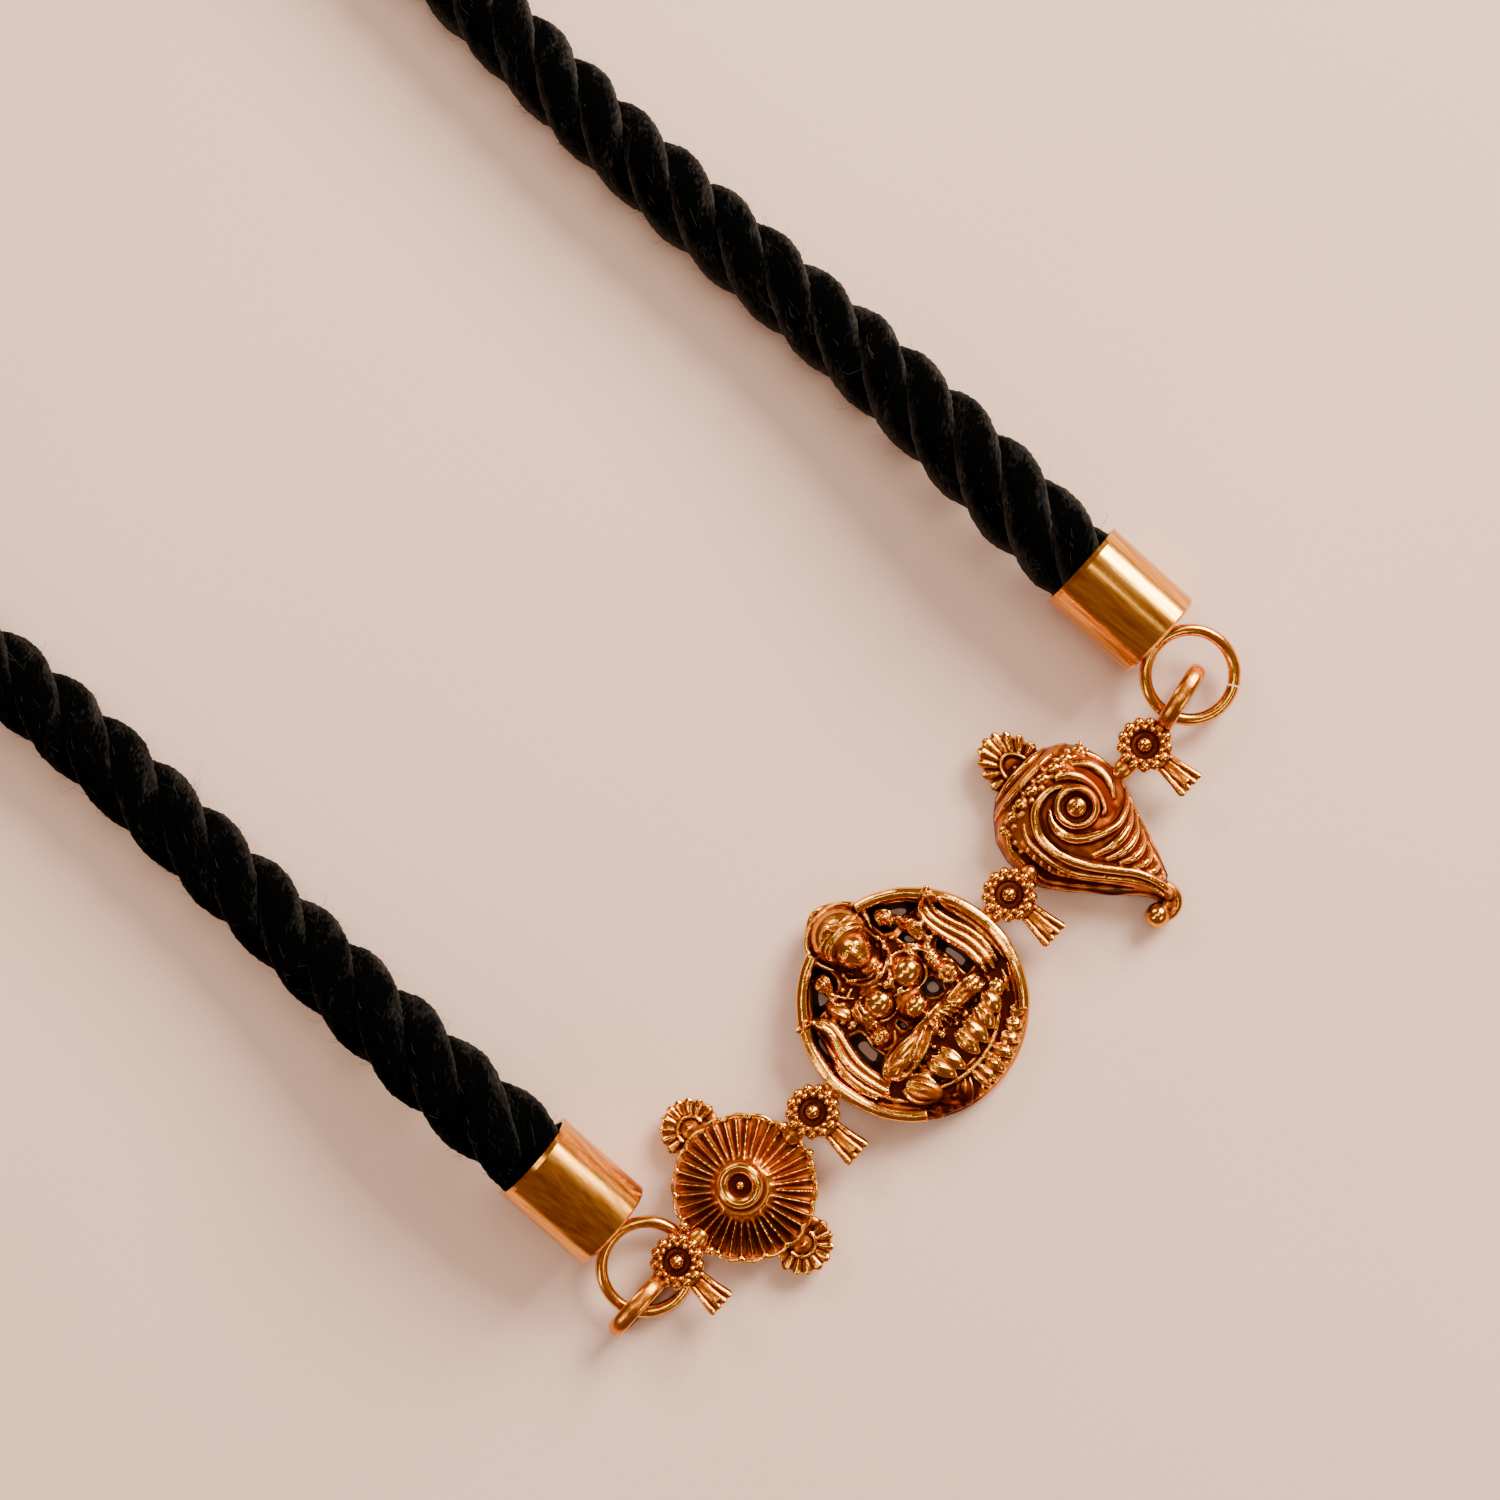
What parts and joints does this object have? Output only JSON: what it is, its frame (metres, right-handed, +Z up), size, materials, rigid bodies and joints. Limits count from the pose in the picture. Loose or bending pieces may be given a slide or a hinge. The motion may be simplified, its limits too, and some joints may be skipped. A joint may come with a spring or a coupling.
{
  "type": "mangalsutra necklace",
  "caption": "Cord necklace laid flat: a twisted black rope in a whole loop, gold cord caps with wire rings, and a cast bar of disc pendants.",
  "frame": {"origin": "middle of the roundel's flat back, on the surface that the necklace lies on", "axes": "+X along the pendant bar from the wheel to the conch, +Y from the bar to the clasp at the back of the loop, +Z up, out of the pendants' faces"},
  "size_m": [0.077, 0.1932, 0.0088],
  "materials": {
    "cast_gold": "gold-plated casting, bright on the raised parts and dark brown in the recesses",
    "polished_gold": "polished gold plate with fine drawn lines",
    "black_rope": "matt black twisted thread with loose dark fibres"
  },
  "bodies": {
    "root": {"pendant": "cast_gold", "cap_left": "polished_gold", "cap_right": "polished_gold", "rope_left": "black_rope", "rope_right": "black_rope", "back_clasp": "polished_gold"}
  },
  "joints": []
}
